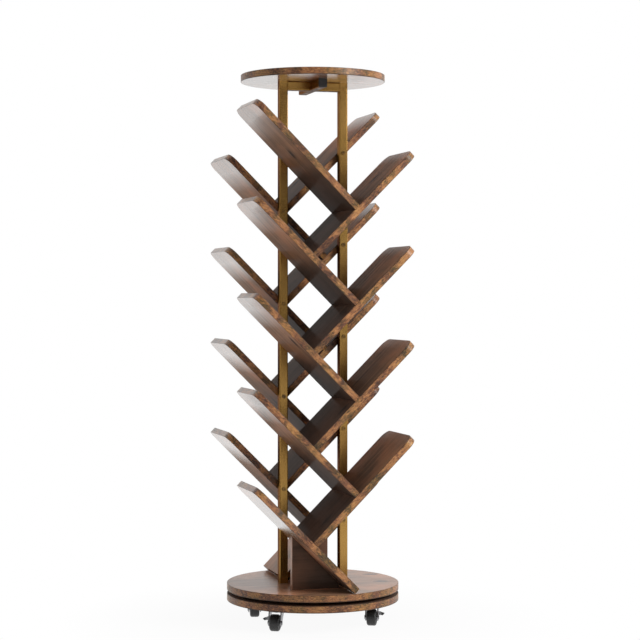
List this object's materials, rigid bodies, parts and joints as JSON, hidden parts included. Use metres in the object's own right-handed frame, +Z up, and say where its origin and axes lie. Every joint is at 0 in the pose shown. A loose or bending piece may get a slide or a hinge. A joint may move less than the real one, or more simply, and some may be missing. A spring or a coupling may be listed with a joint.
{
  "type": "revolving bookcase",
  "caption": "Floor-standing revolving bookcase: sloping shelves in back-to-back zigzag stacks on a steel frame, turning on a ball bearing above a round base with braked casters.",
  "frame": {"origin": "on the floor, below the axis on which the upper part turns", "axes": "+Z up, the front stack of shelves faces -Y, +X to the right seen from the front"},
  "size_m": [0.405, 0.4, 1.2707],
  "materials": {
    "laminate": "dark brown wood laminate, glossy at low angles",
    "frame_paint": "antique gold powder coat",
    "zinc": "zinc plated",
    "tread": "matt black",
    "black_plastic": "matt black",
    "dowel_wood": "plain beech"
  },
  "bodies": {
    "base": {"base_disc": "laminate", "bearing_lower": "zinc", "bearing_lower_screws": "zinc", "caster_plates": "zinc", "caster_plate_screws": "zinc", "caster_pins": "zinc"},
    "ball_ring": {"bearing_balls": "zinc"},
    "tower": {"bearing_upper": "zinc", "bearing_upper_screws": "zinc", "deck": "laminate", "upright_left": "frame_paint", "upright_right": "frame_paint", "upright_plugs": "zinc", "upright_screws": "zinc", "crossbar": "frame_paint", "arm_front": "frame_paint", "arm_rear": "frame_paint", "arm_caps": "black_plastic", "top_disc": "laminate", "top_disc_screws": "zinc", "panel_front": "laminate", "panel_rear": "laminate", "frame_bolts": "zinc", "shelf_dowels": "dowel_wood", "front_shelf_1": "laminate", "front_shelf_2": "laminate", "front_shelf_3": "laminate", "front_shelf_4": "laminate", "front_shelf_5": "laminate", "front_shelf_6": "laminate", "front_shelf_7": "laminate", "front_shelf_8": "laminate", "front_shelf_9": "laminate", "rear_shelf_1": "laminate", "rear_shelf_2": "laminate", "rear_shelf_3": "laminate", "rear_shelf_4": "laminate", "rear_shelf_5": "laminate", "rear_shelf_6": "laminate", "rear_shelf_7": "laminate", "rear_shelf_8": "laminate", "rear_shelf_9": "laminate"},
    "caster_1": {"fork_1": "zinc", "axle_1": "zinc"},
    "roller_1": {"wheel_1": "tread"},
    "pedal_1": {"brake_1": "black_plastic"},
    "caster_2": {"fork_2": "zinc", "axle_2": "zinc"},
    "roller_2": {"wheel_2": "tread"},
    "pedal_2": {"brake_2": "black_plastic"},
    "caster_3": {"fork_3": "zinc", "axle_3": "zinc"},
    "roller_3": {"wheel_3": "tread"},
    "caster_4": {"fork_4": "zinc", "axle_4": "zinc"},
    "roller_4": {"wheel_4": "tread"}
  },
  "joints": [
    {"name": "turntable_spin", "type": "hinge", "parent": "base", "child": "tower", "pos_m": [0, 0, 0.07], "axis": [0, 0, 1], "continuous": true},
    {"name": "ball_ring_spin", "type": "hinge", "parent": "base", "child": "ball_ring", "pos_m": [0, 0, 0.07], "axis": [0, 0, 1], "continuous": true},
    {"name": "caster_swivel_1", "type": "hinge", "parent": "base", "child": "caster_1", "pos_m": [-0.11233, -0.09717, 0.045], "axis": [0, 0, 1], "continuous": true},
    {"name": "wheel_spin_1", "type": "hinge", "parent": "caster_1", "child": "roller_1", "pos_m": [-0.11984, -0.1113, 0.019], "axis": [-0.8829, 0.4695, 0], "continuous": true},
    {"name": "brake_press_1", "type": "hinge", "parent": "caster_1", "child": "pedal_1", "pos_m": [-0.13404, -0.09753, 0.0275], "axis": [-0.4695, -0.8829, 0], "range_deg": [0, 25]},
    {"name": "caster_swivel_2", "type": "hinge", "parent": "base", "child": "caster_2", "pos_m": [0.11758, -0.09075, 0.045], "axis": [0, 0, 1], "continuous": true},
    {"name": "wheel_spin_2", "type": "hinge", "parent": "caster_2", "child": "roller_2", "pos_m": [0.11107, -0.10537, 0.019], "axis": [-0.9135, 0.4067, 0], "continuous": true},
    {"name": "brake_press_2", "type": "hinge", "parent": "caster_2", "child": "pedal_2", "pos_m": [0.13067, -0.10807, 0.0275], "axis": [0.4067, 0.9135, 0], "range_deg": [0, 25]},
    {"name": "caster_swivel_3", "type": "hinge", "parent": "base", "child": "caster_3", "pos_m": [0.11233, 0.09717, 0.045], "axis": [0, 0, 1], "continuous": true},
    {"name": "wheel_spin_3", "type": "hinge", "parent": "caster_3", "child": "roller_3", "pos_m": [0.10739, 0.08196, 0.019], "axis": [-0.9511, 0.309, 0], "continuous": true},
    {"name": "caster_swivel_4", "type": "hinge", "parent": "base", "child": "caster_4", "pos_m": [-0.11758, 0.09075, 0.045], "axis": [0, 0, 1], "continuous": true},
    {"name": "wheel_spin_4", "type": "hinge", "parent": "caster_4", "child": "roller_4", "pos_m": [-0.12091, 0.0751, 0.019], "axis": [-0.9781, 0.2079, 0], "continuous": true}
  ],
  "couplings": [
    {"joint": "ball_ring_spin", "follows": "turntable_spin", "ratio": 0.5}
  ]
}
